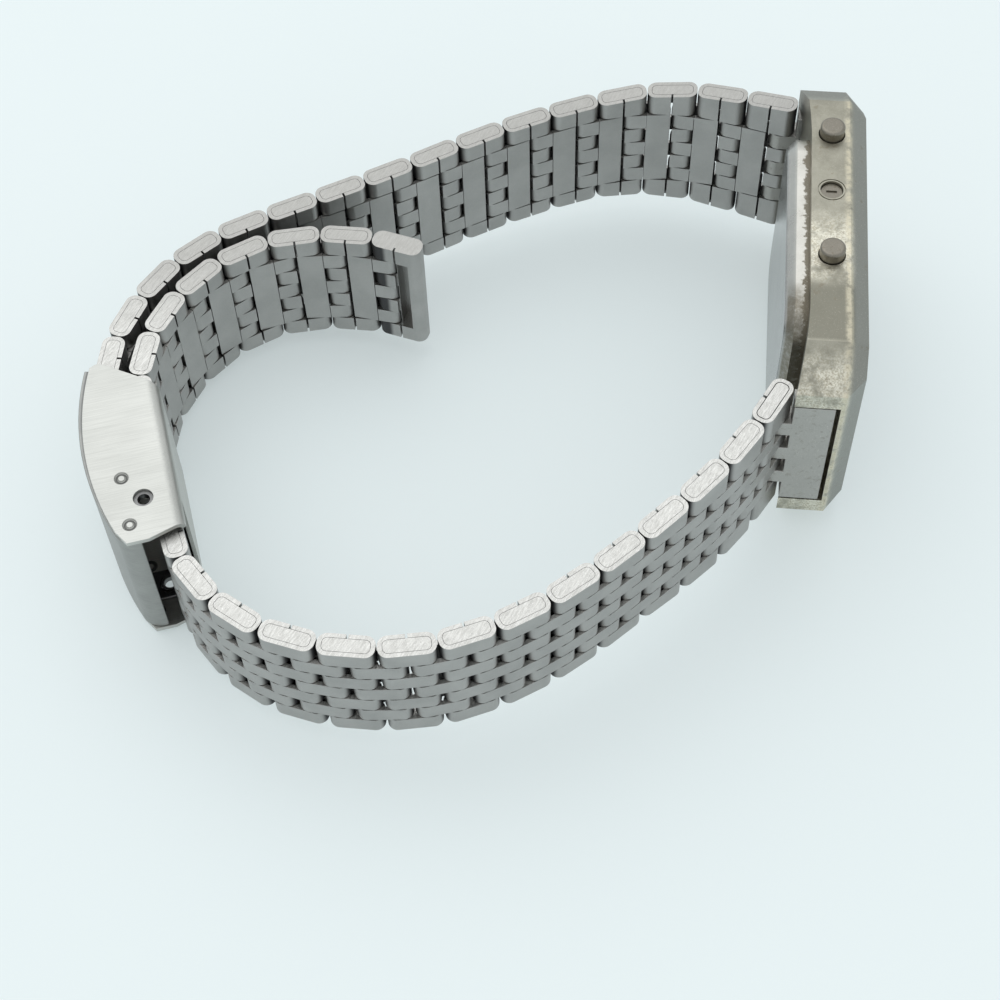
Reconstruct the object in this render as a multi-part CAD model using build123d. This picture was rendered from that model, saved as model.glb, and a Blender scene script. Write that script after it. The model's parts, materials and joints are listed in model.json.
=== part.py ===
from build123d import *
import math
import os

# Digital wristwatch on a folded-link steel band with a sliding clasp, lying on its side.
# Watch frame: X from the wrist to the dial, Y along the case towards its far end,
# Z across the band, with the pushers up. The last step lays it on the table.

# Band, in millimetres
link_pitch = 5.0
link_thickness = 2.1
sheet = 0.4
row_pitch = 1.857
row_gap = 0.1
end_gap = 0.12
pill_corner = 0.88
seam_gap = 0.2
inner_seam_gap = 0.4
plate_overlap = 0.04
leg_radius = 0.55
bridge_thickness = 0.6
bridge_gap = 0.03
case_end_width = 16.4
tail_bar = 1.15
tail_window = 1.25
inner_rows = 5
taper_links = 4

# End links and spring bars
knuckle_reach = 2.2
plate_reach = 2.8
plate_side_gap = 0.15
spring_bar_radius = 0.65
spring_bar_tip_radius = 0.4
spring_bar_tip_length = 0.9
spring_bar_place = 1.1
bar_play = 0.06

# Clasp
clasp_length = 15.1
clasp_sheet = 0.45
clasp_floor = 0.35
clasp_floor_length = 12.4
clasp_bend = 1.1
clasp_lip_gap = 0.1
flange_corner = 0.8
clasp_side_gap = 0.55
flange_height = 7.35
flange_radius = 26.5
flange_crown = 6.0
flange_tip = 3.65
flange_tip_height = 4.9
flange_mouth = 1.0
flange_mouth_height = 3.3
band_height = 1.6
cross_pin_place = -1.1
cross_pin_height = 4.7
mouth_leg_place = 11.7
lid_pin_place = 11.83
lid_pin_height = 3.11
lid_pin_radius = 0.85
lid_pin_wall = 0.3
lid_pin_play = 0.025
lid_ear_play = 0.1
lid_pin_sink = 0.3
lid_sheet = 0.5
lid_stand = 0.35
lid_shift = 0.6
lid_play = 0.07
lid_start_run = 8.715
lid_half_run = 9.237
lid_nose_radius = 1.9
lid_nose_end = 100
lid_ear_sheet = 0.34
lid_ear_radius = 1.5
dimple_radius = 0.45
dimple_groove = 0.16
dimple_reach = 2.45
dimple_rise = 1.52

# Case
case_length = 37.0
case_width = 23.4
lug_end_width = 17.9
corner_length = 4.0
side_height = 3.55
bevel_height = 1.7
bevel_inset = 1.4
bevel_end_inset = 2.4
lug_inner_width = 14.4
lug_drop = 0.85
lug_sweep = 9.5
hood_back = 3.2
pocket_depth = 2.6
cavity_length = 24.0
side_wall = 2.4
cavity_corner = 1.2
ledge_back = 3.45
ledge_thickness = 0.6
crystal_side_margin = 0.6
crystal_corner = 1.2
crystal_thickness = 1.1
crystal_gasket_wall = 0.35
window_margin = 1.2

# Caseback
caseback_rise = 2.05
caseback_end_wall = 0.35
caseback_side_wall = 1.1
caseback_floor = 0.5
caseback_chamfer = 0.85
caseback_rim = 0.9
caseback_rim_wall = 0.6
caseback_gasket_section = 0.4
fit_gap = 0.05

# Module
clip_thickness = 0.15
clip_width = 3.2
battery_radius = 4.75
battery_height = 2.05
battery_wall = 1.3
board_thickness = 0.6
connector_height = 0.75
connector_width = 1.1
connector_end_gap = 1.4
lcd_end_wall = 1.35
lcd_side_wall = 1.4
lcd_thickness = 1.1
mask_play = 0.1
frame_play = 0.1
frame_side_play = 0.35
chip_height = 0.9
chip_wall = 2.75
crystal_can_radius = 0.75
lamp_radius = 0.34
lamp_length = 4.0
lamp_end_gap = 1.5
trimmer_radius = 1.1

# Pushers
pusher_corner_gap = 0.65
pusher_place_share = -0.39
set_pusher_place_share = 0.261
pusher_across = 1.85
pusher_radius = 1.15
pusher_rise = 1.15
pusher_travel = 0.6
pusher_cap_seat = 0.15
pusher_bore_radius = 1.25
pusher_bore_depth = 1.35
set_pusher_radius = 0.98
set_pusher_bore_radius = 1.05
set_pusher_sink = 0.3
set_pusher_cap = 0.3
set_slot_width = 0.3
set_ring_radius = 1.3
set_ring_gap = 0.15
set_ring_depth = 0.12
stem_radius = 0.5
stem_play = 0.05
stem_inside = 0.55
circlip_radius = 0.75
circlip_gap = 0.15
circlip_thickness = 0.25
spring_outer = 0.92
spring_inner = 0.62

# One overrun for every cut
overrun = 1.0

# Headings of the links seen from above, in degrees, going round from the far end link,
# through the clasp, to the near end link. The tail runs from the clasp to its free end.
fixed_headings = [164.8, 166.4, 179.6, 193.8, 203.4, 207.3, 210.9, 212.8,
                  212.6, 211.6, 211.1, 213.9, 227.0, 242.0, 254.8, 271.0]
hook_heading = 287.9
clasp_heading = -70.0
sliding_headings = [-66.0, -46.0, -29.5, -12.4, -0.2, 11.2, 24.5, 33.6, 41.2, 45.4, 46.4, 49.5,
                    56.5, 61.7]
tail_headings = [269.2, 251.0, 234.5, 215.9, 194.7, 180.4, 166.9]
links_in_clasp = 4
open_link = 7
links_bent_by_case = 8
tail_pairs = 2

# Values that follow
pill_length = link_pitch - end_gap
hollow_height = link_thickness - 2 * sheet
half_pitch = link_pitch / 2
band_width = (inner_rows + 2) * row_pitch
outer_row_start = inner_rows * row_pitch / 2 + row_gap / 2
pill_end_reach = pill_length / 2 - link_pitch / 4
flange_inner = band_width / 2 + clasp_side_gap
clasp_half = flange_inner + clasp_sheet
half_length = case_length / 2
case_front = side_height + bevel_height
knuckle_y = half_length - link_thickness / 2
plate_width = lug_inner_width - 2 * plate_side_gap
cavity_width = case_width - 2 * side_wall
crystal_length = cavity_length
crystal_width = cavity_width - 2 * crystal_side_margin
caseback_corner = 3 * caseback_side_wall
pusher_places = [cavity_length / 2 - cavity_corner - pusher_corner_gap,
                 pusher_place_share * cavity_length / 2]
set_pusher_place = set_pusher_place_share * cavity_length / 2
crystal_back = ledge_back + ledge_thickness
board_back = -caseback_rise + caseback_floor + clip_thickness + battery_height
board_front = board_back + board_thickness
lcd_back = board_front + connector_height
lcd_front = lcd_back + lcd_thickness
rim_inset = caseback_rim_wall + fit_gap
frame_length = cavity_length - 2 * (rim_inset + frame_play)
frame_width = cavity_width - 2 * (stem_inside + pusher_travel + frame_side_play)
mask_length = frame_length - 2 * mask_play
mask_width = frame_width - 2 * mask_play
lcd_length = frame_length - 2 * lcd_end_wall
lcd_width = frame_width - 2 * lcd_side_wall
connector_length = lcd_length - 2 * connector_end_gap
battery_place = frame_length / 2 - battery_wall - battery_radius
chip_side = frame_length * 2 / 9
chip_place = chip_wall + chip_side / 2 - frame_length / 2
crystal_can_length = chip_side
lamp_place = lcd_length / 2 - lamp_end_gap


def ahead(point, heading, distance):
    """Point at a distance from another one along a heading."""
    turn = math.radians(heading)
    return point + Vector(distance * math.cos(turn), distance * math.sin(turn), 0)


def band_width_at(links_from_case):
    """The outer rows widen over the last links before the case."""
    share = max(0.0, 1 - links_from_case / taper_links)
    return band_width + (case_end_width - band_width) * share


# Hinge points. A link has two legs half a pitch apart, and the three-finger link between
# two of them turns on the right leg of one and the left leg of the next.

def sliding_chain():
    """Legs of the near half, worked back from the near end link into the clasp."""
    lefts = {}
    rights = {}
    last = len(sliding_headings) - 1
    point = Vector(-knuckle_reach, -knuckle_y, 0)
    for index in range(last, -1, -1):
        rights[index] = point
        lefts[index] = ahead(point, sliding_headings[index], -half_pitch)
        before = sliding_headings[index - 1] if index else clasp_heading
        between = (sliding_headings[index] + before) / 2
        point = ahead(lefts[index], between, -half_pitch)
    return lefts, rights, point


sliding_lefts, sliding_rights, mouth_leg = sliding_chain()
clasp_origin = ahead(mouth_leg, clasp_heading, -mouth_leg_place)
clasp_origin = ahead(clasp_origin, clasp_heading + 90, band_height)
clasp_place = Location(tuple(clasp_origin), (0, 0, clasp_heading))


def in_clasp(along, height):
    """Point in the clasp: along its length, and outward from its wrist side."""
    point = ahead(clasp_origin, clasp_heading, along)
    return ahead(point, clasp_heading - 90, height)


cross_pin_point = in_clasp(cross_pin_place, cross_pin_height)


def fixed_chain(near_case, near_clasp):
    """Legs of the far half for one extra turn near the case and one near the clasp."""
    headings = []
    for index, heading in enumerate(fixed_headings):
        headings.append(heading + (near_case if index < links_bent_by_case else near_clasp))
    lefts = []
    rights = []
    point = Vector(-knuckle_reach, knuckle_y, 0)
    for index, heading in enumerate(headings):
        after = headings[index + 1] if index + 1 < len(headings) else hook_heading
        lefts.append(point)
        rights.append(ahead(point, heading, half_pitch))
        point = ahead(rights[-1], (heading + after) / 2, half_pitch)
    return headings, lefts, rights, point


def close_loop():
    """Newton steps on the two extra turns until the far half ends on the cross pin."""
    turns = [0.0, 0.0]
    nudge = 0.001
    for _ in range(12):
        end = fixed_chain(*turns)[3]
        by_case = fixed_chain(turns[0] + nudge, turns[1])[3] - end
        by_clasp = fixed_chain(turns[0], turns[1] + nudge)[3] - end
        miss = cross_pin_point - end
        area = by_case.X * by_clasp.Y - by_case.Y * by_clasp.X
        turns[0] += nudge * (miss.X * by_clasp.Y - miss.Y * by_clasp.X) / area
        turns[1] += nudge * (by_case.X * miss.Y - by_case.Y * miss.X) / area
    return turns


loop_turns = close_loop()
closed_headings, fixed_lefts, fixed_rights, _ = fixed_chain(*loop_turns)


def through_chain():
    """Legs of the links inside the clasp and of the tail beyond it, outwards."""
    headings = [clasp_heading + 360] * (links_in_clasp - 1)
    headings += [heading + loop_turns[1] for heading in tail_headings]
    lefts = []
    rights = []
    point = mouth_leg
    for index, heading in enumerate(headings):
        after = headings[index + 1] if index + 1 < len(headings) else heading
        rights.append(point)
        lefts.append(ahead(point, heading, -half_pitch))
        point = ahead(lefts[-1], (heading + after) / 2, -half_pitch)
    return headings, lefts, rights


through_headings, through_lefts, through_rights = through_chain()


# Link pieces, in the link's own frame: X along the band, +Y to the wrist, Z across

def row_limits(row):
    """Lowest and highest Z of one of the five inner rows, counted from 0."""
    middle = (row - (inner_rows - 1) / 2) * row_pitch
    return middle - (row_pitch - row_gap) / 2, middle + (row_pitch - row_gap) / 2


def pill_outline(inset):
    """Side view of a folded tube, drawn in by an inset."""
    return RectangleRounded(pill_length - 2 * inset, link_thickness - 2 * inset, pill_corner - inset)


def tube_section():
    """Section of a folded sheet round two legs, open along its seam."""
    section = pill_outline(0) - pill_outline(sheet)
    return section - Pos(0, link_thickness / 2) * Rectangle(seam_gap, 2 * sheet)


def row_tube(section, low, high):
    """One folded tube between two heights."""
    return Pos(0, 0, low) * extrude(section, high - low)


def inner_tube_section(plate_sides):
    """A tube of the inner rows has no back flap over the legs that wide plates cover."""
    flap = Rectangle(pill_length, link_thickness, align=(Align.CENTER, Align.MIN))
    section = tube_section()
    for side in plate_sides:
        section -= Pos(side * (pill_length - inner_seam_gap) / 2, 0) * flap
    return section


def slanted(piece, left_width, right_width):
    """Cut a piece to the slant of a widening band."""
    half = pill_length / 2
    corners = [(-half, -left_width / 2), (half, -right_width / 2), (half, right_width / 2),
               (-half, left_width / 2)]
    slant = Plane.XZ * make_face(Polyline(*corners, close=True))
    return piece & extrude(slant, link_thickness, both=True)


def outer_tubes(left_width, right_width):
    """Top and bottom row of a link, cut to a slant where the band widens."""
    widest = max(left_width, right_width) / 2
    tube = row_tube(tube_section(), outer_row_start, widest)
    if left_width != right_width:
        tube = slanted(tube, left_width, right_width)
    return [tube, mirror(tube, Plane.XY)]


def staple(width, open_left=False):
    """Two legs through all rows, joined by a flat bridge at each end."""
    top = width / 2
    legs = Pos(link_pitch / 4, 0, 0) * Cylinder(leg_radius, width)
    if open_left:
        stub = top - outer_row_start
        for side in (1, -1):
            legs += Pos(-link_pitch / 4, 0, side * (top - stub / 2)) * Cylinder(leg_radius, stub)
    else:
        legs += Pos(-link_pitch / 4, 0, 0) * Cylinder(leg_radius, width)
    bridge = extrude(pill_outline(sheet + bridge_gap), bridge_thickness)
    top_bridge = Pos(0, 0, top - bridge_thickness) * bridge
    return legs + top_bridge + mirror(top_bridge, Plane.XY)


def four_row_link(plate_sides, left_width, right_width, open_left=False):
    """The folded tubes of the odd rows and their staple."""
    pieces = outer_tubes(left_width, right_width)
    for row in (1, 3):
        pieces.append(row_tube(inner_tube_section(plate_sides), *row_limits(row)))
    pin = staple(max(left_width, right_width), open_left)
    if left_width != right_width:
        pin = slanted(pin, left_width, right_width)
    return pieces + [pin]


def three_finger_link(plate_side):
    """The even rows: three folded fingers and the wide back plate that joins them.

    The plate covers the leg nearer the case, which is on the side that its links face away from.
    """
    fingers = [row_tube(tube_section(), *row_limits(row)) for row in (0, 2, 4)]
    plate_length = pill_length / 2 - seam_gap / 2 + plate_overlap
    plate_span = inner_rows * row_pitch - row_gap
    plate_middle = -plate_side * (plate_length / 2 - plate_overlap)
    plate = Box(plate_length, sheet, plate_span)
    return fingers[0] + fingers[1:] + Pos(plate_middle, link_thickness / 2 - sheet / 2, 0) * plate


def tail_end_link():
    """Last link of the tail: an end bar, a closed window, and four rows over its right leg."""
    half = pill_length / 2
    body = Pos(0, 0, -band_width / 2) * extrude(pill_outline(0), band_width)
    span = inner_rows * row_pitch
    window = Box(tail_window, link_thickness, span, align=(Align.MIN, Align.MIN, Align.CENTER))
    body -= Pos(-half + tail_bar, -hollow_height / 2, 0) * window
    body -= Pos(0, link_thickness / 2, 0) * Box(seam_gap, 2 * sheet, band_width)
    for row in (0, 2, 4):
        low = row_limits(row)[0] - row_gap
        slot = Box(half + overrun, link_thickness + overrun, row_pitch + row_gap,
                   align=(Align.MIN, Align.CENTER, Align.MIN))
        body -= Pos(0, 0, low) * slot
    bore = Cylinder(hollow_height / 2, span)
    body -= Pos(link_pitch / 4, 0, 0) * bore
    leg = Pos(link_pitch / 4, 0, 0) * Cylinder(leg_radius, span)
    return [body, leg]


def at_link(pieces, middle, heading):
    """Put pieces of a link at its place in the loop."""
    spot = Location(tuple(middle), (0, 0, heading))
    return [spot * piece for piece in pieces]


# The wide plate of a pitch lies on the side away from the case, which is the right one in the
# fixed half and the left one in the sliding half
fingers_pieces = {side: three_finger_link(side) for side in (1, -1)}
plain_links = {side: four_row_link((side,), band_width, band_width) for side in (1, -1)}


def fingers_between(plate_side, right_leg, left_leg):
    """The three-finger link between two hinge points."""
    run = left_leg - right_leg
    heading = math.degrees(math.atan2(run.Y, run.X))
    return at_link([fingers_pieces[plate_side]], (right_leg + left_leg) / 2, heading)


def fixed_link(index):
    """One pitch of the far half, counted from the case."""
    middle = (fixed_lefts[index] + fixed_rights[index]) / 2
    pieces = plain_links[1]
    if index < taper_links:
        pieces = four_row_link((1,), band_width_at(index), band_width_at(index + 1))
    following = fixed_lefts[index + 1] if index + 1 < len(fixed_lefts) else cross_pin_point
    pieces = at_link(pieces, middle, closed_headings[index])
    return pieces + fingers_between(1, fixed_rights[index], following)


def sliding_link(index):
    """One pitch of the near half, counted from the clasp's mouth.

    Where the loop is open, the wide plate lies on the other side, so that the two ends can part.
    """
    last = len(sliding_headings) - 1
    middle = (sliding_lefts[index] + sliding_rights[index]) / 2
    from_case = last - index
    pieces = plain_links[-1]
    plate_side = -1
    if from_case < taper_links:
        pieces = four_row_link((-1,), band_width_at(from_case + 1), band_width_at(from_case))
    elif index == open_link:
        pieces = four_row_link((), band_width, band_width, open_left=True)
    elif index == open_link - 1:
        pieces = four_row_link((-1, 1), band_width, band_width)
        plate_side = 1
    pieces = at_link(pieces, middle, sliding_headings[index])
    if index < last:
        pieces += fingers_between(plate_side, sliding_rights[index], sliding_lefts[index + 1])
    return pieces


def through_link(index):
    """One pitch of the sliding band inside the clasp or in the tail."""
    middle = (through_lefts[index] + through_rights[index]) / 2
    following = through_rights[index - 1]
    left_after = through_lefts[index - 1] if index else sliding_lefts[0]
    pieces = plain_links[-1]
    if index == len(through_headings) - 1:
        pieces = tail_end_link()
    pieces = at_link(pieces, middle, through_headings[index])
    return pieces + fingers_between(-1, through_rights[index], left_after)


# End links, spring bars

def end_link():
    """Plate between the lugs with three knuckles, for the near end."""
    centre = -knuckle_y
    plate_back = -knuckle_reach + link_pitch / 4 + end_gap
    plate = Box(plate_reach - plate_back, link_thickness, plate_width,
                align=(Align.MIN, Align.CENTER, Align.CENTER))
    link = Pos(plate_back, centre, 0) * plate
    nose = -knuckle_reach - pill_end_reach + link_thickness / 2
    for row in (0, 2, 4):
        low, high = row_limits(row)
        knuckle = Pos(nose, centre) * Circle(link_thickness / 2)
        arm = Rectangle(plate_back - nose + sheet, link_thickness, align=(Align.MIN, Align.CENTER))
        knuckle += Pos(nose, centre) * arm
        link += Pos(0, 0, low) * extrude(knuckle, high - low)
    link -= Pos(-knuckle_reach, centre, 0) * Cylinder(hollow_height / 2, plate_width)
    bore = Cylinder(spring_bar_radius + bar_play, plate_width + overrun)
    return link - Pos(spring_bar_place, centre, 0) * bore


def spring_bar():
    """Bar with a thinner sprung tip at each end, for the near end."""
    body = Cylinder(spring_bar_radius, plate_width)
    tips = Cylinder(spring_bar_tip_radius, lug_inner_width + 2 * spring_bar_tip_length)
    return Pos(spring_bar_place, -knuckle_y, 0) * (body + tips)


# Clasp, in its own frame: X along it towards its mouth, -Y outward, Z across

def flange_face():
    """Outline of a side flange, with its convex outer edge."""
    start = flange_crown - lid_half_run
    drop = flange_radius - math.sqrt(flange_radius ** 2 - lid_half_run ** 2)
    low = flange_height - drop
    end = 2 * flange_crown - start
    corner = link_thickness / 4
    outer = ThreePointArc((start, -low), (flange_crown, -flange_height), (end - corner, -low - corner / 2))
    mouth = Polyline((end - corner, -low - corner / 2), (clasp_length + flange_mouth, -low + corner),
                     (clasp_length + flange_mouth, -flange_mouth_height), (clasp_length, 0), (0, 0),
                     (-flange_tip, -flange_tip_height), (start, -low))
    outline = make_face(outer + mouth)
    return fillet(outline.vertices().group_by(Axis.X)[0], flange_corner)


def bent_channel(half_width, base, bend):
    """Section of a channel with rounded bends, open outward, drawn across Z and Y."""
    deep = flange_height + 2 * bend
    channel = Pos(0, base + deep / 2) * RectangleRounded(2 * half_width, deep, bend)
    return Plane((0, 0, 0), x_dir=(0, 0, 1), z_dir=(1, 0, 0)) * channel


def clasp_box():
    """Wrist-side floor and the two side flanges, bent from one sheet."""
    run = clasp_length + flange_mouth + flange_tip
    outside = extrude(bent_channel(clasp_half, 0, clasp_bend), run)
    inside = extrude(bent_channel(flange_inner, clasp_floor, clasp_bend - clasp_sheet), run)
    sheet_channel = Pos(-flange_tip, 0, 0) * (outside - inside)
    box = sheet_channel & extrude(flange_face(), clasp_half, both=True)
    open_floor = Box(run, 2 * clasp_bend, band_width + 2 * clasp_lip_gap,
                     align=(Align.MIN, Align.CENTER, Align.CENTER))
    box -= Pos(clasp_floor_length, 0, 0) * open_floor
    box -= Pos(lid_pin_place, -lid_pin_height, 0) * Cylinder(lid_pin_radius + lid_pin_play, 2 * clasp_half)
    for side in (1, -1):
        along = lid_pin_place + side * dimple_reach
        for face in (1, -1):
            ring = Torus(dimple_radius, dimple_groove)
            box -= Pos(along, -lid_pin_height - dimple_rise, face * clasp_half) * ring
    return clasp_place * box


def cross_pin():
    """Bar welded between the flanges, that the fixed half hooks on."""
    pin = Cylinder(leg_radius, 2 * flange_inner)
    return Pos(*tuple(cross_pin_point)) * pin


def lid_pins():
    """Two short rolled pins, one in each flange."""
    ear_low = band_width / 2 + lid_ear_play
    length = clasp_half - lid_pin_sink - ear_low
    pin = Cylinder(lid_pin_radius, length) - Cylinder(lid_pin_radius - lid_pin_wall, length)
    upper = Pos(lid_pin_place, -lid_pin_height, ear_low + length / 2) * pin
    return [clasp_place * upper, clasp_place * mirror(upper, Plane.XY)]


def ring_sector(centre, outer, inner, start, end):
    """Part of a ring between two angles from straight outward, turning to the mouth."""
    ring = Pos(*centre) * (Circle(outer) - Circle(inner))
    reach = 2 * outer
    fan = [centre]
    steps = 4
    for step in range(steps + 1):
        turn = math.radians(start + (end - start) * step / steps)
        fan.append((centre[0] + reach * math.sin(turn), centre[1] - reach * math.cos(turn)))
    return ring & make_face(Polyline(*fan, close=True))


def lid():
    """Curved cover between the flanges, with a rolled nose at the mouth and two ears."""
    middle = (flange_crown - lid_shift, flange_radius - flange_height)
    outer = flange_radius + lid_stand
    inner = outer - lid_sheet
    end_turn = math.asin(lid_half_run / flange_radius)
    end_angle = math.degrees(end_turn)
    start_angle = math.degrees(math.asin(lid_start_run / flange_radius))
    shell = ring_sector(middle, outer, inner, -start_angle, end_angle)
    reach = outer - lid_nose_radius
    nose = (middle[0] + reach * math.sin(end_turn), middle[1] - reach * math.cos(end_turn))
    shell += ring_sector(nose, lid_nose_radius, lid_nose_radius - lid_sheet, end_angle, lid_nose_end)
    half = flange_inner - lid_play
    cover = Pos(0, 0, -half) * extrude(shell, 2 * half)
    pin = (lid_pin_place, -lid_pin_height)
    ear = Pos(*pin) * (Circle(lid_ear_radius) + Rectangle(2 * lid_ear_radius, flange_height,
                                                          align=(Align.CENTER, Align.MAX)))
    ear = ear & Pos(*middle) * Circle(inner + lid_sheet / 2)
    ear -= Pos(*pin) * Circle(lid_pin_radius + fit_gap)
    ear = Pos(0, 0, half - lid_ear_sheet) * extrude(ear, lid_ear_sheet)
    return clasp_place * (cover + ear + mirror(ear, Plane.XY))


# Case, in the watch frame. Its outlines lie in the YZ plane and are raised along X.

def outline_prism(outline, low, high):
    """Raise an outline drawn across Y and Z from one X to another."""
    return Pos(low, 0, 0) * extrude(Plane.YZ * outline, high - low)


def rounded(length, width, corner):
    """Rectangle with rounded corners, long side along the case."""
    return RectangleRounded(length, width, corner)


def case_outline(inset, end_inset):
    """Long octagon of the case, drawn in by an inset at its sides and another at its ends."""
    slope = (case_width - lug_end_width) / 2 / corner_length
    shift = inset * (math.hypot(1, slope) - slope)
    end = half_length - end_inset
    side = case_width / 2 - inset
    shoulder = half_length - corner_length - shift
    lug = side - slope * (end - shoulder)
    quarter = [(end, lug), (shoulder, side)]
    points = quarter + [(-y, z) for y, z in reversed(quarter)]
    points += [(-y, -z) for y, z in quarter] + [(y, -z) for y, z in reversed(quarter)]
    return make_face(Polyline(*points, close=True))


def case_middle():
    """One-piece case: side walls, hooded ends, lugs, module cavity and crystal seat."""
    case = outline_prism(case_outline(0, 0), -lug_drop, side_height)
    wide = Plane.YZ.offset(side_height) * case_outline(0, 0)
    narrow = Plane.YZ.offset(case_front) * case_outline(bevel_inset, bevel_end_inset)
    case += loft([wide, narrow], ruled=True)
    arch = half_length - lug_sweep
    case -= Pos(-lug_drop - overrun, 0, 0) * Box(lug_drop + overrun, 2 * arch, case_width + overrun,
                                                 align=(Align.MIN, Align.CENTER, Align.CENTER))
    sweep_radius = (lug_sweep ** 2 + lug_drop ** 2) / (2 * lug_drop)
    sweep = Cylinder(sweep_radius, case_width + overrun)
    case -= outline_prism(caseback_outline(fit_gap), -lug_drop - overrun, 0)
    pocket = Box(hood_back + lug_drop + overrun, pocket_depth + overrun, lug_inner_width,
                 align=(Align.MIN, Align.MIN, Align.CENTER))
    tip_hole = Cylinder(spring_bar_tip_radius + fit_gap,
                        lug_inner_width + 2 * spring_bar_tip_length + 2 * fit_gap)
    for side in (1, -1):
        case -= Pos(-sweep_radius, side * arch, 0) * sweep
        cut = Pos(-lug_drop - overrun, half_length - pocket_depth, 0) * pocket
        case -= cut if side == 1 else mirror(cut, Plane.XZ)
        case -= Pos(spring_bar_place, side * knuckle_y, 0) * tip_hole
    case -= outline_prism(rounded(cavity_length, cavity_width, cavity_corner), -overrun, ledge_back)
    window = rounded(crystal_length - 2 * window_margin, crystal_width - 2 * window_margin, crystal_corner)
    case -= outline_prism(window, ledge_back - overrun, crystal_back + overrun)
    seat = rounded(crystal_length + 2 * crystal_gasket_wall, crystal_width + 2 * crystal_gasket_wall,
                   crystal_corner + crystal_gasket_wall)
    case -= outline_prism(seat, crystal_back, case_front + overrun)
    for place in pusher_places:
        case -= pusher_bore(place, pusher_bore_radius, 0)
    case -= pusher_bore(set_pusher_place, set_pusher_bore_radius, set_pusher_sink)
    ring = Cylinder(set_ring_radius, 2 * set_ring_depth)
    ring -= Cylinder(set_pusher_bore_radius + set_ring_gap, 2 * set_ring_depth)
    return case - Pos(pusher_across, set_pusher_place, case_width / 2) * ring


def pusher_bore(place, radius, sink):
    """Stepped bore of a pusher, through the side wall into the cavity."""
    top = case_width / 2
    floor = top - sink - pusher_bore_depth
    wide = Cylinder(radius, top - floor + overrun, align=(Align.CENTER, Align.CENTER, Align.MIN))
    narrow = Cylinder(stem_radius + stem_play, top - cavity_width / 2 + overrun,
                      align=(Align.CENTER, Align.CENTER, Align.MIN))
    bore = Pos(0, 0, floor) * wide + Pos(0, 0, cavity_width / 2 - overrun) * narrow
    return Pos(pusher_across, place, 0) * bore


def crystal():
    """Flat mineral crystal with a bevelled front edge."""
    plate = outline_prism(rounded(crystal_length, crystal_width, crystal_corner),
                          crystal_back, crystal_back + crystal_thickness)
    return chamfer(plate.edges().group_by(Axis.X)[-1], crystal_thickness / 5)


def crystal_gasket():
    """Ring between crystal and case."""
    outer = rounded(crystal_length + 2 * crystal_gasket_wall, crystal_width + 2 * crystal_gasket_wall,
                    crystal_corner + crystal_gasket_wall)
    ring = outer - rounded(crystal_length, crystal_width, crystal_corner)
    return outline_prism(ring, crystal_back, crystal_back + crystal_thickness)


def caseback_outline(play):
    """Outline of the back, or of its seat in the case with some play round it."""
    length = cavity_length + 2 * (caseback_end_wall + play)
    width = cavity_width + 2 * (caseback_side_wall + play)
    return rounded(length, width, caseback_corner + play)


def caseback():
    """Pressed-in back: shallow cup with a chamfered edge and a rim inside the case."""
    cup = outline_prism(caseback_outline(0), -caseback_rise, 0)
    cup = chamfer(cup.edges().group_by(Axis.X)[0], caseback_chamfer)
    inner = rounded(cavity_length - 2 * fit_gap, cavity_width - 2 * fit_gap, cavity_corner - fit_gap)
    cup += outline_prism(inner, -fit_gap, caseback_rim)
    hollow = rounded(cavity_length - 2 * rim_inset, cavity_width - 2 * rim_inset, cavity_corner - rim_inset)
    cup -= outline_prism(hollow, -caseback_rise + caseback_floor, caseback_rim + overrun)
    groove = outline_prism(inner, caseback_rim - caseback_gasket_section, caseback_rim + overrun)
    shallow = rounded(cavity_length - 2 * fit_gap - caseback_gasket_section,
                      cavity_width - 2 * fit_gap - caseback_gasket_section,
                      cavity_corner - fit_gap - caseback_gasket_section / 2)
    return cup - (groove - outline_prism(shallow, -overrun, caseback_rim + 2 * overrun))


def caseback_gasket():
    """Seal round the rim of the back."""
    outer = rounded(cavity_length - 2 * fit_gap, cavity_width - 2 * fit_gap, cavity_corner - fit_gap)
    inner = rounded(cavity_length - 2 * fit_gap - caseback_gasket_section,
                    cavity_width - 2 * fit_gap - caseback_gasket_section,
                    cavity_corner - fit_gap - caseback_gasket_section / 2)
    return outline_prism(outer - inner, caseback_rim - caseback_gasket_section, caseback_rim)


# Module, stacked from the back to the crystal

def battery_clip():
    """Spring strip under the cell, on the floor of the back."""
    low = -caseback_rise + caseback_floor
    strip = RectangleRounded(2 * battery_radius, clip_width, clip_width / 4)
    return outline_prism(Pos(battery_place, 0) * strip, low, low + clip_thickness)


def battery():
    """Button cell with a stepped negative side."""
    low = -caseback_rise + caseback_floor + clip_thickness
    can = outline_prism(Pos(battery_place, 0) * Circle(battery_radius), low, low + battery_height * 4 / 5)
    cap = Pos(battery_place, 0) * Circle(battery_radius * 4 / 5)
    return can + outline_prism(cap, low, low + battery_height)


def circuit_board():
    """Board with its chip, trimmer and quartz can on the back side."""
    plan = RectangleRounded(lcd_length, lcd_width, crystal_corner / 2)
    board = outline_prism(plan, board_back, board_front)
    chip = outline_prism(Pos(chip_place, 0) * Rectangle(chip_side, chip_side), board_back - chip_height,
                         board_back)
    trimmer = outline_prism(Pos(chip_place, lcd_width / 2 - trimmer_radius * 3 / 2) * Circle(trimmer_radius),
                            board_back - chip_height, board_back)
    can = Pos(board_back - crystal_can_radius, chip_place, crystal_can_radius - lcd_width / 2)
    can = can * Rot(90, 0, 0) * Cylinder(crystal_can_radius, crystal_can_length)
    return [board, chip, trimmer, can]


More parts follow.
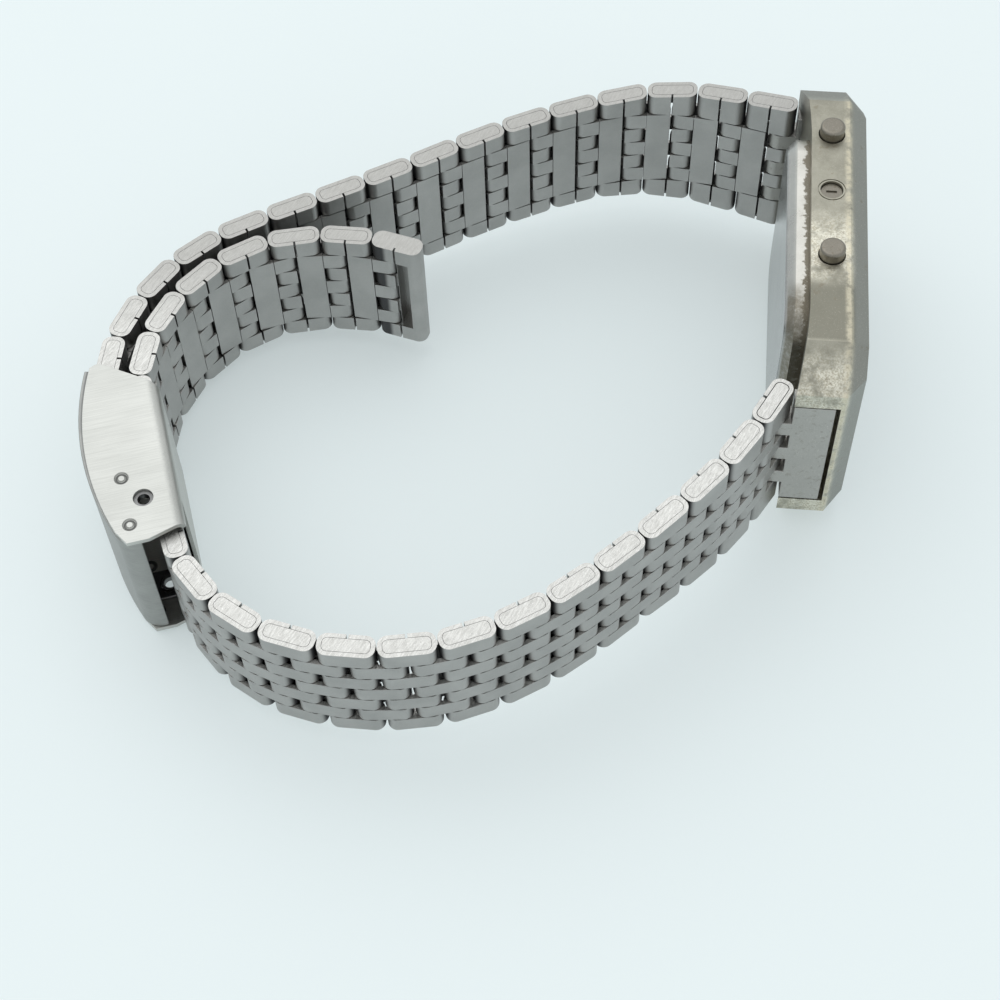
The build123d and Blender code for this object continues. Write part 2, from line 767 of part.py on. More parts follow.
def elastomer_connectors():
    """Two conducting strips between board and display."""
    strip = Rectangle(connector_length, connector_width)
    place = lcd_width / 2 - connector_width
    return [outline_prism(Pos(0, side * place) * strip, board_front, lcd_back) for side in (1, -1)]


def lcd_panel():
    """Two glass plates, the front one shorter."""
    rear = outline_prism(Rectangle(lcd_length, lcd_width), lcd_back, lcd_back + lcd_thickness / 2)
    front = Rectangle(lcd_length, lcd_width - 2 * connector_width)
    return rear + outline_prism(front, lcd_back + lcd_thickness / 2, lcd_front)


def display_mask():
    """Printed mask with the display's window."""
    plate = RectangleRounded(mask_length, mask_width, crystal_corner)
    plate -= Rectangle(mask_length * 2 / 5, lcd_width - 2 * connector_width - window_margin)
    return outline_prism(plate, lcd_front, ledge_back)


def lamp():
    """Grain lamp between board and display."""
    bulb = Cylinder(lamp_radius, lamp_length)
    return Pos(board_front + lamp_radius, lamp_place, 0) * bulb


def module_frame():
    """Moulded frame round the cell, board and display."""
    low = -caseback_rise + caseback_floor
    frame = outline_prism(RectangleRounded(frame_length, frame_width, crystal_corner), low, lcd_front)
    shelf = Rectangle(lcd_length + 2 * fit_gap, lcd_width + 2 * fit_gap)
    frame -= outline_prism(shelf, board_back, lcd_front + overrun)
    cell = Pos(battery_place, 0) * Circle(battery_radius + fit_gap)
    frame -= outline_prism(cell, low - overrun, board_back + overrun)
    parts_pocket = Pos(chip_place, 0) * Rectangle(chip_side + 2 * fit_gap, lcd_width)
    return frame - outline_prism(parts_pocket, low + clip_thickness, board_back + overrun)


# Pushers, along Z from the top side of the case

def pusher_stem(top):
    """Stem into the cavity with its circlip."""
    end = cavity_width / 2 - stem_inside
    stem = Pos(0, 0, end) * Cylinder(stem_radius, top - end, align=(Align.CENTER, Align.CENTER, Align.MIN))
    clip = Cylinder(circlip_radius, circlip_thickness, align=(Align.CENTER, Align.CENTER, Align.MAX))
    return stem + Pos(0, 0, cavity_width / 2 - circlip_gap) * clip


def raised_pusher(place):
    """Round pusher that stands out of the side, with a softened edge."""
    low = case_width / 2 - pusher_cap_seat
    cap = Pos(0, 0, low) * Cylinder(pusher_radius, pusher_rise + pusher_cap_seat,
                                    align=(Align.CENTER, Align.CENTER, Align.MIN))
    cap = fillet(cap.edges().group_by(Axis.Z)[-1], pusher_radius / 4)
    return Pos(pusher_across, place, 0) * (cap + pusher_stem(low + pusher_cap_seat))


def set_pusher():
    """Recessed pusher with a slot for a tool."""
    top = case_width / 2 - set_pusher_sink
    cap = Pos(0, 0, top) * Cylinder(set_pusher_radius, set_pusher_cap,
                                    align=(Align.CENTER, Align.CENTER, Align.MAX))
    cap += pusher_stem(top - set_pusher_cap / 2)
    slot = Box(set_pusher_radius, set_slot_width, set_pusher_cap)
    return Pos(pusher_across, set_pusher_place, 0) * (cap - Pos(0, 0, top) * slot)


def pusher_spring(place, top, floor):
    """Return spring round a stem, as its closed sleeve."""
    sleeve = Cylinder(spring_outer, top - floor, align=(Align.CENTER, Align.CENTER, Align.MIN))
    sleeve -= Cylinder(spring_inner, top - floor, align=(Align.CENTER, Align.CENTER, Align.MIN))
    return Pos(pusher_across, place, floor) * sleeve


def raised_spring(place):
    """Spring under a raised pusher."""
    top = case_width / 2
    return pusher_spring(place, top - pusher_cap_seat, top - pusher_bore_depth)


def set_spring():
    """Spring under the recessed pusher."""
    top = case_width / 2 - set_pusher_sink
    return pusher_spring(set_pusher_place, top - set_pusher_cap, top - pusher_bore_depth)


def far_end(shape):
    """The far end is the mirror image of the near one."""
    return mirror(shape, Plane.XZ)


# All nodes, in the watch frame

def build_nodes():
    """Name of each node with its list of solids."""
    nodes = {}
    for index in range(len(fixed_headings)):
        nodes[f"fixed_band_link_{index + 1:02d}"] = fixed_link(index)
    for index in range(1, len(sliding_headings)):
        nodes[f"sliding_band_link_{index:02d}"] = sliding_link(index)
    held = sliding_link(0)
    for index in range(links_in_clasp - 1):
        held += through_link(index)
    nodes["band_in_clasp"] = held
    first = links_in_clasp - 1
    group = 1
    while first < len(through_headings):
        pieces = []
        for index in range(first, min(first + tail_pairs, len(through_headings))):
            pieces += through_link(index)
        nodes[f"tail_section_{group}"] = pieces
        first += tail_pairs
        group += 1
    nodes["near_end_link"] = [end_link()]
    nodes["far_end_link"] = [far_end(end_link())]
    nodes["spring_bars"] = [spring_bar(), far_end(spring_bar())]
    nodes["clasp_box"] = [clasp_box()]
    nodes["clasp_cross_pin"] = [cross_pin()]
    nodes["clasp_lid_pins"] = lid_pins()
    nodes["clasp_lid"] = [lid()]
    nodes["case_middle"] = [case_middle()]
    nodes["crystal"] = [crystal()]
    nodes["crystal_gasket"] = [crystal_gasket()]
    nodes["caseback"] = [caseback()]
    nodes["caseback_gasket"] = [caseback_gasket()]
    nodes["battery_clip"] = [battery_clip()]
    nodes["battery"] = [battery()]
    nodes["circuit_board"] = circuit_board()
    nodes["elastomer_connectors"] = elastomer_connectors()
    nodes["lcd_panel"] = [lcd_panel()]
    nodes["display_mask"] = [display_mask()]
    nodes["lamp"] = [lamp()]
    nodes["module_frame"] = [module_frame()]
    for number, place in enumerate(pusher_places, 1):
        nodes[f"side_pusher_{number}"] = [raised_pusher(place)]
        nodes[f"side_pusher_{number}_spring"] = [raised_spring(place)]
    nodes["set_pusher"] = [set_pusher()]
    nodes["set_pusher_spring"] = [set_spring()]
    return nodes


def lie_down(nodes):
    """Lean the watch until case and clasp both touch the table, then centre it."""
    clasp_edge = nodes["clasp_box"][0].bounding_box().min.X
    lean = math.degrees(math.atan2(case_width / 2 - clasp_half, -clasp_edge))
    tilt = Location((0, 0, 0), (0, -lean, 0))
    leaned = Compound([tilt * solid for solids in nodes.values() for solid in solids])
    box = leaned.bounding_box()
    centre = box.center()
    return Location((-centre.X, -centre.Y, -box.min.Z)) * tilt


watch = build_nodes()
lie = lie_down(watch)
os.makedirs("parts", exist_ok=True)
for name, solids in watch.items():
    placed = [lie * solid for solid in solids]
    export_step(placed[0] if len(placed) == 1 else Compound(placed), f"parts/{name}.step")
print("nodes", len(watch), "lean", round(-lie.orientation.Y, 2), "turns", [round(t, 2) for t in loop_turns])
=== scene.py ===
import json
import math

import bmesh
import bpy
import numpy as np
from mathutils import Euler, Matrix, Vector

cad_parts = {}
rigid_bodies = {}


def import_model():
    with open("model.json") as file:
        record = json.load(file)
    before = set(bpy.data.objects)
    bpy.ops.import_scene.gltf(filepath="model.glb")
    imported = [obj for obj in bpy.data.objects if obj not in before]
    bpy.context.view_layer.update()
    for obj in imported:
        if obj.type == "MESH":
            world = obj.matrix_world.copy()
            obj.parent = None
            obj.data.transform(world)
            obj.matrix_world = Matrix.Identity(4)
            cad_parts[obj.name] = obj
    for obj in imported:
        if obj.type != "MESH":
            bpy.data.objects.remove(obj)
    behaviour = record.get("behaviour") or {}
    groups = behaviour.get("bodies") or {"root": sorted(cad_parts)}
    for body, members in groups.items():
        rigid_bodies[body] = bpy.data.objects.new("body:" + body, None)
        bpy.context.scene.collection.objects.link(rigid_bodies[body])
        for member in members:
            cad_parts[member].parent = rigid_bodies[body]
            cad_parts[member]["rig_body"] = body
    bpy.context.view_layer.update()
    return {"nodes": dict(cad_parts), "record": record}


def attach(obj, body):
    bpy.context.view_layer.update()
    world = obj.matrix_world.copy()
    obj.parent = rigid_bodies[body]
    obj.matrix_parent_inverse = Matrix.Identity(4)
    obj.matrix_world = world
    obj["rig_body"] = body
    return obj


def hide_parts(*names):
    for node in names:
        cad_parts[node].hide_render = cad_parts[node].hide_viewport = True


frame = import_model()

# Everything below is worked out in millimetres and stored in metres.
MM = 0.001

# Place of the watch's own frame on the table: X wrist to dial, Y along the case, Z across the band
WATCH_ORIGIN = Vector((29.2644, 12.7649, 11.6932))
WATCH_LEAN = -3.7803

# Clasp in the watch's frame, and in its own coordinates its two dimples with the rings of painted
# shade round them
CLASP_HEADING = -70.0
CLASP_ORIGIN = (-57.1205, -20.5365, 0.0)
DIMPLES = ((14.28, -4.63), (9.38, -4.63))
RIM_INSIDE = (0.20, 0.36)
RIM_OUTSIDE = (0.56, 0.70)

# Lid, in clasp coordinates: centres of its cover and of its rolled nose, and their outer radii
LID_CENTRES = {"cover": (5.4, 19.15), "nose": (14.10, -4.23)}
LID_RADIUS = 26.85
NOSE_RADIUS = 1.9
# Depths under the lid's outer skin over which its painted shade fades out, and the stretch along
# the clasp's X from which the nose's outer skin is left unshaded
SKIN_INSIDE = 0.4
SKIN_OUTSIDE = 0.1
NOSE_START = (13.8, 14.3)

# Half thickness of a link and the reach of the inner rows across the band
HALF_LINK = 1.05
FINGER_SPAN = 9.2
SPAN_PLAY = 0.6
CAP_PLAY = 0.05

# Stretch over which the band's ends darken towards its far half, along the watch's Y
FAR_HALF = (-18, -4)

# Case finish along the watch's Y: the patch rubbed bright, the dull stretch, the facet at the
# near end and the dark far end, each as the two places between which it fades
RUBBED_START, RUBBED_STOP = (-8.5, -6.5), (-2.5, 1.5)
DULL_START, DULL_STOP = (-14.6, -14.1), (-9.0, -6.5)
NEAR_FACET = (-17.0, -14.2)
FAR_END = (13.5, 16.5)

# Case finish along the watch's X: end of the rubbed wall, the grey front and its rubbed edge
WALL_STOP = (3.2, 5.0)
FRONT_START = (3.5, 4.2)
EDGE_START, EDGE_STOP = (2.9, 3.3), (3.6, 3.9)

# Finish of the back along X: its flat face, its chamfer with a painted dark reflection, and its
# joint; along Y its tarnished end
BACK_FACE = (-2.05, -1.75)
BACK_CHAMFER = (-1.5, -1.1)
BACK_JOINT = (0.35, 0.62)
BACK_END = (-9.5, -5.5)

# How a copy of a solid is softened: millimetres for welding and rolling, degrees for edges
WELD_REACH = 0.002
FLAT_ANGLE = 0.5
SHARP_ANGLE = 32
ROLL_STEPS = 2
BAND_ROLL = 0.06
CLASP_ROLL = 0.08
CASE_ROLL = 0.14

# Display: fronts of the panel and of its mask along X, and the heights of what is printed there
PANEL_FRONT = 3.1
FIGURE_RISE = 0.04
MASK_FRONT = 3.45
LINE_RISE = 0.03
LINE_WIDTH = 0.16
LINE_POINTS = 64
# A bar's half length, half thickness and the step between figures, in half figure heights
BAR_LENGTH = 0.46
BAR_THICKNESS = 0.11
FIGURE_STEP = 1.5
DOT_SHARE = 0.28
# Name, text, middle (across the band, along it) and half height
FIGURES = (("hour_figures", "12:38", (0, 1.2), 1.3), ("second_figures", "24", (2.7, -2.6), 0.95),
           ("day_figures", "16", (-2.7, -2.6), 0.95))
# Name, half length, half width and corner radius
LINES = (("window_line", 5.4, 5.5, 0.7), ("edge_line", 10.5, 7.2, 0.9))

# Ground, in metres: half its side, its colour where it only lights the watch and where it is
# seen, the tint of its clouds, and the glow it has where it is seen
TABLE_HALF = 1.6
GROUND_LIT = (0.80, 0.815, 0.815)
GROUND_SEEN = (0.45, 0.49, 0.495)
GROUND_CLOUDS = (0.7, 0.73, 0.73)
GROUND_GLOW = (0.335, 0.372, 0.376)

# Room light, and the lamp's place and side in metres with its power in watts
ROOM_COLOUR = (0.93, 0.96, 0.97, 1)
ROOM_STRENGTH = 0.88
LAMP_PLACE = (-0.45, 0.45, 1.0)
LAMP_SIDE = 1.6
LAMP_POWER = 5.6

# Camera, fitted to the photograph's view of the band: millimetres, and degrees for its turn
CAMERA_PLACE = Vector((5.6146, -106.0629, 152.9780))
CAMERA_TURN = (33.021, -2.552, 5.467)
CAMERA_LENS = 68.616
CAMERA_SENSOR = 36.0

scene = bpy.context.scene
scene.view_settings.view_transform = "Standard"
nodes = frame["nodes"]


# Shader maths

class Signal:
    """A shader socket that can be used in Python sums."""

    def __init__(self, tree, socket):
        self.tree = tree
        self.socket = socket

    def maths(self, operation, *others):
        """A Math node whose first value is this signal."""
        return node(self.tree, "ShaderNodeMath", {"operation": operation}, (self, *others))

    def __add__(self, other):
        return self.maths("ADD", other)

    def __sub__(self, other):
        return self.maths("SUBTRACT", other)

    def __mul__(self, other):
        return self.maths("MULTIPLY", other)

    def __rsub__(self, other):
        return node(self.tree, "ShaderNodeMath", {"operation": "SUBTRACT"}, (other, self))

    __radd__ = __add__
    __rmul__ = __mul__

    def band(self, low, high):
        """0 below low, 1 above high, smooth between."""
        settings = {"interpolation_type": "SMOOTHSTEP"}
        return node(self.tree, "ShaderNodeMapRange", settings,
                    {"Value": self, "From Min": low, "From Max": high})


def node(tree, kind, settings=None, values=(), output=0):
    """Add one node: its settings first, then its sockets by name or in order."""
    made = tree.nodes.new(kind)
    for name, value in (settings or {}).items():
        setattr(made, name, value)
    pairs = values.items() if isinstance(values, dict) else enumerate(values)
    for key, value in pairs:
        if isinstance(value, Signal):
            tree.links.new(value.socket, made.inputs[key])
        else:
            made.inputs[key].default_value = value
    return Signal(tree, made.outputs[output])


def mix(factor, first, second):
    """Colour between two colours."""
    tree = factor.tree
    made = tree.nodes.new("ShaderNodeMix")
    made.data_type = "RGBA"
    for key, value in ((0, factor), (6, first), (7, second)):
        if isinstance(value, Signal):
            tree.links.new(value.socket, made.inputs[key])
        else:
            made.inputs[key].default_value = (*value, 1.0)
    return Signal(tree, made.outputs[2])


def place(tree, turn=(0, 0, 0), stretch=(1, 1, 1)):
    """Object coordinates in millimetres, turned, then stretched."""
    coordinates = node(tree, "ShaderNodeTexCoord", output=3)
    turned = node(tree, "ShaderNodeVectorRotate", {"rotation_type": "EULER_XYZ"},
                  {"Vector": coordinates, "Rotation": [math.radians(a) for a in turn]})
    scale = [s / MM for s in stretch]
    return node(tree, "ShaderNodeVectorMath", {"operation": "MULTIPLY"}, {0: turned, 1: scale})


def watch_place(tree):
    """The watch's own coordinates in millimetres: X wrist to dial, Y along the case, Z across."""
    coordinates = node(tree, "ShaderNodeTexCoord", output=3)
    scaled = node(tree, "ShaderNodeVectorMath", {"operation": "MULTIPLY"},
                  {0: coordinates, 1: (1 / MM, 1 / MM, 1 / MM)})
    moved = node(tree, "ShaderNodeVectorMath", {"operation": "SUBTRACT"},
                 {0: scaled, 1: tuple(WATCH_ORIGIN)})
    return node(tree, "ShaderNodeVectorRotate", {"rotation_type": "EULER_XYZ"},
                {"Vector": moved, "Rotation": (0, math.radians(-WATCH_LEAN), 0)})


def part_of(where, axis):
    """One coordinate of a vector."""
    return node(where.tree, "ShaderNodeSeparateXYZ", {}, (where,), output=axis)


def across(tree):
    """1 on surfaces that face along the band's width, 0 on the others."""
    facing = node(tree, "ShaderNodeNewGeometry", output=1)
    lean = math.radians(WATCH_LEAN)
    axis = (math.sin(lean), 0, math.cos(lean))
    product = node(tree, "ShaderNodeVectorMath", {"operation": "DOT_PRODUCT"},
                   {0: facing, 1: axis}, output=1)
    return product.maths("ABSOLUTE").band(0.75, 0.95)


def away_from(where, middle):
    """Distance from the line along Z through a point (x, y)."""
    over_x = part_of(where, 0) - middle[0]
    over_y = part_of(where, 1) - middle[1]
    return (over_x * over_x + over_y * over_y).maths("SQRT")


def noise(tree, where, scale, detail=3.0, rough=0.55):
    """Cloud noise, from 0 to 1."""
    return node(tree, "ShaderNodeTexNoise", {}, {"Vector": where, "Scale": scale, "Detail": detail,
                                                 "Roughness": rough})


def material(name, metallic=0.0, **constants):
    """A new material with its shader; constants go straight onto the shader's sockets."""
    made = bpy.data.materials.new(name)
    made.use_nodes = True
    tree = made.node_tree
    shader = tree.nodes["Principled BSDF"]
    shader.inputs["Metallic"].default_value = metallic
    for key, value in constants.items():
        shader.inputs[key.replace("_", " ")].default_value = value
    return made, tree, shader


def feed(tree, shader, **signals):
    """Link signals to the shader's sockets."""
    for key, value in signals.items():
        tree.links.new(value.socket, shader.inputs[key.replace("_", " ")])


def bump(tree, height, strength, distance=0.00005):
    """A normal from a height signal."""
    return node(tree, "ShaderNodeBump", {}, {"Strength": strength, "Distance": distance,
                                             "Height": height})


def scratches(tree):
    """Fine crossing scratches, 0 on plain metal."""
    first = noise(tree, place(tree, (20, 35, 50), (0.35, 9, 9)), 1.0, 3.0)
    second = noise(tree, place(tree, (70, -20, 10), (9, 0.3, 9)), 1.0, 3.0)
    return first.band(0.60, 0.70) + second.band(0.61, 0.70)


def worn_steel(name, colour, shade, rough, spots=0.0):
    """Satin steel: grain, soft clouds, small scratches and, where wanted, brown spots."""
    made, tree, shader = material(name, metallic=1.0)
    plain = place(tree)
    grain = noise(tree, plain, 6.0, 5.0, 0.65)
    clouds = noise(tree, plain, 0.35, 3.0)
    fine = noise(tree, plain, 14.0, 2.0)
    marks = scratches(tree)
    tone = clouds * 0.35 + grain * 0.25 + fine * 0.25 + marks * 0.18
    base = mix(tone.band(0.2, 0.85), shade, colour)
    if spots:
        pits = noise(tree, plain, 2.2, 6.0, 0.7).band(0.56, 0.66)
        base = mix(pits * spots, base, (0.16, 0.13, 0.09))
    roughness = grain * 0.16 + clouds * 0.10 + (rough - 0.10)
    normal = bump(tree, grain * 0.6 + fine * 0.5 + marks * 0.4, 0.35)
    feed(tree, shader, Base_Color=base, Roughness=roughness, Normal=normal)
    return made


def folded_steel(name):
    """Band: matte grained faces, bright scratched sides, and darkening that deepens under the
    faces, partly dirt and partly painted shade.
    """
    made, tree, shader = material(name, metallic=1.0)
    plain = place(tree)
    clouds = noise(tree, plain, 0.30, 3.0)
    grain = noise(tree, plain, 9.0, 4.0, 0.7)
    fine = noise(tree, plain, 22.0, 2.0)
    marks = scratches(tree)
    rubs = noise(tree, place(tree, (0, 0, 25), (9, 1.2, 9)), 0.9, 4.0, 0.75)
    side = across(tree)
    local = node(tree, "ShaderNodeAttribute", {"attribute_name": "link_place"}, output=1)
    height = part_of(local, 1)
    depth = HALF_LINK - height.maths("ABSOLUTE")
    # Darker the deeper a surface lies under the outer faces, away from the sides: partly dirt,
    # partly painted shade in the gaps and hollows
    grime_and_shade = (depth + (clouds - 0.5) * 0.12).band(0.14, 0.62) * (1 - side)
    face = mix((clouds * 0.5 + grain * 0.3 + fine * 0.2).band(0.3, 0.7),
               (0.365, 0.362, 0.352), (0.475, 0.470, 0.456))
    rubbed = mix((rubs * 0.6 + fine * 0.4).band(0.34, 0.66),
                 (0.42, 0.415, 0.395), (0.70, 0.695, 0.67))
    rubbed = mix(marks * 0.45, rubbed, (0.88, 0.87, 0.85))
    far_half = part_of(watch_place(tree), 1).band(*FAR_HALF)
    rubbed = mix(far_half * 0.62, rubbed, (0.30, 0.295, 0.28))
    # Painted shade with dirt: the deep surfaces darkened nearly to black
    base = mix(grime_and_shade * 0.88, mix(side, face, rubbed), (0.035, 0.036, 0.040))
    relief = grain * 0.5 + fine * 0.3 + side * (marks * 0.5 + rubs * 0.5)
    roughness = clouds * 0.08 + grain * 0.10 + grime_and_shade * 0.15 + (0.34 - side * 0.04)
    feed(tree, shader, Base_Color=base, Roughness=roughness, Normal=bump(tree, relief, 0.32))
    return made


def clasp_place(tree):
    """Clasp coordinates in millimetres: X towards its mouth, Y towards the wrist, Z across."""
    moved = node(tree, "ShaderNodeVectorMath", {"operation": "SUBTRACT"},
                 {0: watch_place(tree), 1: tuple(CLASP_ORIGIN)})
    return node(tree, "ShaderNodeVectorRotate", {"rotation_type": "Z_AXIS"},
                {"Vector": moved, "Angle": math.radians(-CLASP_HEADING)})


def brushed_steel(name):
    """Clasp box: fine lines brushed across it, two dimples ringed with painted shade, a few marks.
    """
    made, tree, shader = material(name, metallic=1.0)
    where = clasp_place(tree)
    stretched = node(tree, "ShaderNodeVectorMath", {"operation": "MULTIPLY"},
                     {0: where, 1: (9, 0.16, 9)})
    lines = noise(tree, stretched, 1.5, 4.0, 0.75)
    clouds = noise(tree, place(tree), 0.16, 2.0)
    marks = scratches(tree)
    # Rings of painted shade round the two dimples, standing in for the shading of their hollows
    rim_shade = [away_from(where, dimple) for dimple in DIMPLES]
    rim_shade = [away.band(*RIM_INSIDE) * (1 - away.band(*RIM_OUTSIDE)) for away in rim_shade]
    rim_shade = rim_shade[0] + rim_shade[1]
    base = mix((lines * 0.75 + clouds * 0.25).band(0.30, 0.70),
               (0.47, 0.475, 0.45), (0.62, 0.625, 0.595))
    base = mix(marks * 0.10, base, (0.74, 0.74, 0.72))
    # Painted shade: the rings darkened where the clasp faces across the band
    base = mix(rim_shade * across(tree) * 0.85, base, (0.05, 0.05, 0.05))
    feed(tree, shader, Base_Color=base, Roughness=lines * 0.16 + 0.32,
         Normal=bump(tree, lines + marks * 0.3, 0.25))
    return made


def lid_finish(name):
    """Clasp lid: dull satin outside, with painted shade under its curve and inside its rolled nose.
    """
    made, tree, shader = material(name, metallic=1.0)
    where = clasp_place(tree)
    cover = away_from(where, LID_CENTRES["cover"]).band(LID_RADIUS - SKIN_INSIDE,
                                                        LID_RADIUS - SKIN_OUTSIDE)
    nose = away_from(where, LID_CENTRES["nose"]).band(NOSE_RADIUS - SKIN_INSIDE,
                                                      NOSE_RADIUS - SKIN_OUTSIDE)
    # Painted shade: 1 everywhere but on the outer skin of the cover and the outer skin of the
    # nose's end
    inside = 1 - cover.maths("MAXIMUM", nose * part_of(where, 0).band(*NOSE_START))
    lines = noise(tree, place(tree, (0, 0, -CLASP_HEADING), (0.4, 0.4, 6)), 1.8, 5.0, 0.7)
    clouds = noise(tree, place(tree), 0.22, 3.0)
    base = mix((lines * 0.6 + clouds * 0.4).band(0.3, 0.7),
               (0.29, 0.295, 0.285), (0.41, 0.415, 0.40))
    # Painted shade darkens the lid's inside
    base = mix(inside * 0.85, base, (0.10, 0.102, 0.105))
    feed(tree, shader, Base_Color=base, Roughness=lines * 0.12 + clouds * 0.10 + 0.34,
         Normal=bump(tree, lines, 0.22))
    return made


def case_finish(name):
    """Worn plating: khaki walls, rubbed bright round the last pusher and on the near facet."""
    made, tree, shader = material(name, metallic=1.0)
    where = watch_place(tree)
    along = part_of(where, 1)
    depth = part_of(where, 0)
    clouds = noise(tree, where, 0.28, 4.0, 0.6)
    stains = noise(tree, where, 0.9, 5.0, 0.65)
    pits = noise(tree, where, 5.5, 4.0, 0.7)
    fine = noise(tree, where, 16.0, 2.0)
    marks = scratches(tree)
    base = mix((clouds * 0.5 + fine * 0.2 + stains * 0.3).band(0.34, 0.66),
               (0.29, 0.28, 0.23), (0.42, 0.405, 0.34))
    dull = along.band(*DULL_START) * (1 - along.band(*DULL_STOP))
    base = mix(dull * 0.75, base, (0.19, 0.185, 0.15))
    patches = along.band(*RUBBED_START) * (1 - along.band(*RUBBED_STOP))
    patches = patches + (1 - along.band(*NEAR_FACET))
    worn = patches * (stains * 0.5 + clouds * 0.5).band(0.34, 0.60) * (1 - depth.band(*WALL_STOP))
    base = mix(worn, base, mix(pits.band(0.36, 0.60), (0.46, 0.42, 0.32), (0.80, 0.78, 0.68)))
    front = mix(fine * 0.5 + clouds * 0.5, (0.22, 0.225, 0.205), (0.34, 0.345, 0.315))
    base = mix(depth.band(*FRONT_START), base, front)
    rubbed_edge = depth.band(*EDGE_START) * (1 - depth.band(*EDGE_STOP)) * stains.band(0.35, 0.6)
    base = mix(rubbed_edge * 0.7, base, (0.66, 0.61, 0.47))
    base = mix(along.band(*FAR_END) * 0.8, base, (0.17, 0.165, 0.145))
    dirt = stains.band(0.60, 0.72) * 0.5
    base = mix(dirt, base, (0.20, 0.17, 0.12))
    base = mix(marks * 0.16, base, (0.75, 0.72, 0.64))
    roughness = clouds * 0.12 + pits * 0.12 + (0.30 - worn * 0.06)
    height = fine * 0.3 + stains * 0.5 + pits * (worn * 1.1 + 0.25) + marks * 0.3
    feed(tree, shader, Base_Color=base, Roughness=roughness, Normal=bump(tree, height, 0.42))
    return made


def back_finish(name):
    """Back: grey polished face, bright rubbed wall with a painted dark reflection on its chamfer,
    brown tarnish along its joint and near end.
    """
    made, tree, shader = material(name, metallic=1.0)
    where = watch_place(tree)
    along = part_of(where, 1)
    depth = part_of(where, 0)
    clouds = noise(tree, where, 0.30, 4.0, 0.6)
    stains = noise(tree, where, 1.6, 6.0, 0.7)
    fine = noise(tree, where, 18.0, 2.0)
    marks = scratches(tree)
    face = 1 - depth.band(*BACK_FACE)
    base = mix((clouds * 0.6 + fine * 0.4).band(0.3, 0.7), (0.50, 0.49, 0.45), (0.68, 0.665, 0.62))
    joint = (depth + stains * 1.9).band(*BACK_JOINT) * 0.85
    # Painted dark reflection on the chamfer
    chamfer = (1 - depth.band(*BACK_CHAMFER)) * 0.45
    end = 1 - along.band(*BACK_END)
    tarnish = (joint + end * (stains.band(0.25, 0.6) * 0.4 + 0.4)) * (1 - face)
    # Painted reflection: the chamfer darkened bluish grey where it is not the flat face
    base = mix(chamfer * (1 - face), base, (0.30, 0.31, 0.32))
    base = mix(tarnish.band(0, 1), base, (0.20, 0.18, 0.14))
    base = mix(face, base, mix(clouds.band(0.3, 0.7), (0.30, 0.305, 0.305), (0.40, 0.405, 0.40)))
    base = mix(marks * 0.12, base, (0.85, 0.83, 0.80))
    roughness = clouds * 0.08 + tarnish * 0.2 + (0.24 - face * 0.04)
    feed(tree, shader, Base_Color=base, Roughness=roughness,
         Normal=bump(tree, fine * 0.3 + stains * 0.3 + marks * 0.3, 0.22))
    return made


def plain_finish(name, colour, shade, rough, grain=0.3, **constants):
    """Moulded or printed finish: faint clouds in the colour and a fine skin."""
    made, tree, shader = material(name, **constants)
    where = place(tree)
    clouds = noise(tree, where, 3.0, 3.0)
    skin = noise(tree, where, 18.0, 2.0)
    feed(tree, shader, Base_Color=mix(clouds.band(0.3, 0.7), shade, colour),
         Roughness=clouds * 0.1 + (rough - 0.05), Normal=bump(tree, skin, grain))
    return made


band_steel = folded_steel("band_satin_steel")
end_link_steel = worn_steel("end_link_steel", (0.56, 0.555, 0.525), (0.40, 0.395, 0.375), 0.46,
                            spots=0.3)
clasp_steel = brushed_steel("clasp_brushed_steel")
lid_steel = lid_finish("lid_satin_steel")
pin_steel = worn_steel("pin_dark_steel", (0.40, 0.40, 0.40), (0.18, 0.18, 0.18), 0.42)
case_metal = case_finish("case_worn_plating")
back_metal = back_finish("caseback_steel")
pusher_steel = worn_steel("pusher_steel", (0.36, 0.335, 0.29), (0.20, 0.185, 0.155), 0.33,
                          spots=0.45)
spring_wire = worn_steel("spring_wire", (0.5, 0.5, 0.5), (0.3, 0.3, 0.3), 0.4)
cell_steel = worn_steel("cell_nickel", (0.7, 0.7, 0.68), (0.5, 0.5, 0.5), 0.3)
clip_gold = worn_steel("clip_gold", (0.72, 0.55, 0.25), (0.5, 0.38, 0.16), 0.35)
mask_ink = plain_finish("mask_ink", (0.03, 0.035, 0.055), (0.02, 0.022, 0.035), 0.4)
frame_plastic = plain_finish("frame_plastic", (0.05, 0.05, 0.055), (0.03, 0.03, 0.03), 0.55)
board_green = plain_finish("board_lacquer", (0.03, 0.16, 0.07), (0.02, 0.10, 0.05), 0.35)
gasket_black = plain_finish("gasket_rubber", (0.03, 0.03, 0.03), (0.015, 0.015, 0.015), 0.8)
connector_grey = plain_finish("connector_silicone", (0.5, 0.5, 0.48), (0.3, 0.3, 0.3), 0.7)
lcd_film = plain_finish("lcd_film", (0.36, 0.38, 0.31), (0.31, 0.33, 0.27), 0.3)
crystal_glass = plain_finish("crystal_glass", (0.95, 0.98, 0.98), (0.9, 0.95, 0.95), 0.08,
                             grain=0.0, Transmission_Weight=1.0, IOR=1.5)
lamp_glass = plain_finish("lamp_glass", (0.95, 0.93, 0.85), (0.9, 0.88, 0.8), 0.1, grain=0.0,
                          Transmission_Weight=1.0, IOR=1.5)


# Pieces

def turn_about_y(angle):
    """Matrix that turns points about Y by an angle in degrees."""
    cosine, sine = math.cos(math.radians(angle)), math.sin(math.radians(angle))
    return np.array(((cosine, 0, sine), (0, 1, 0), (-sine, 0, cosine)))


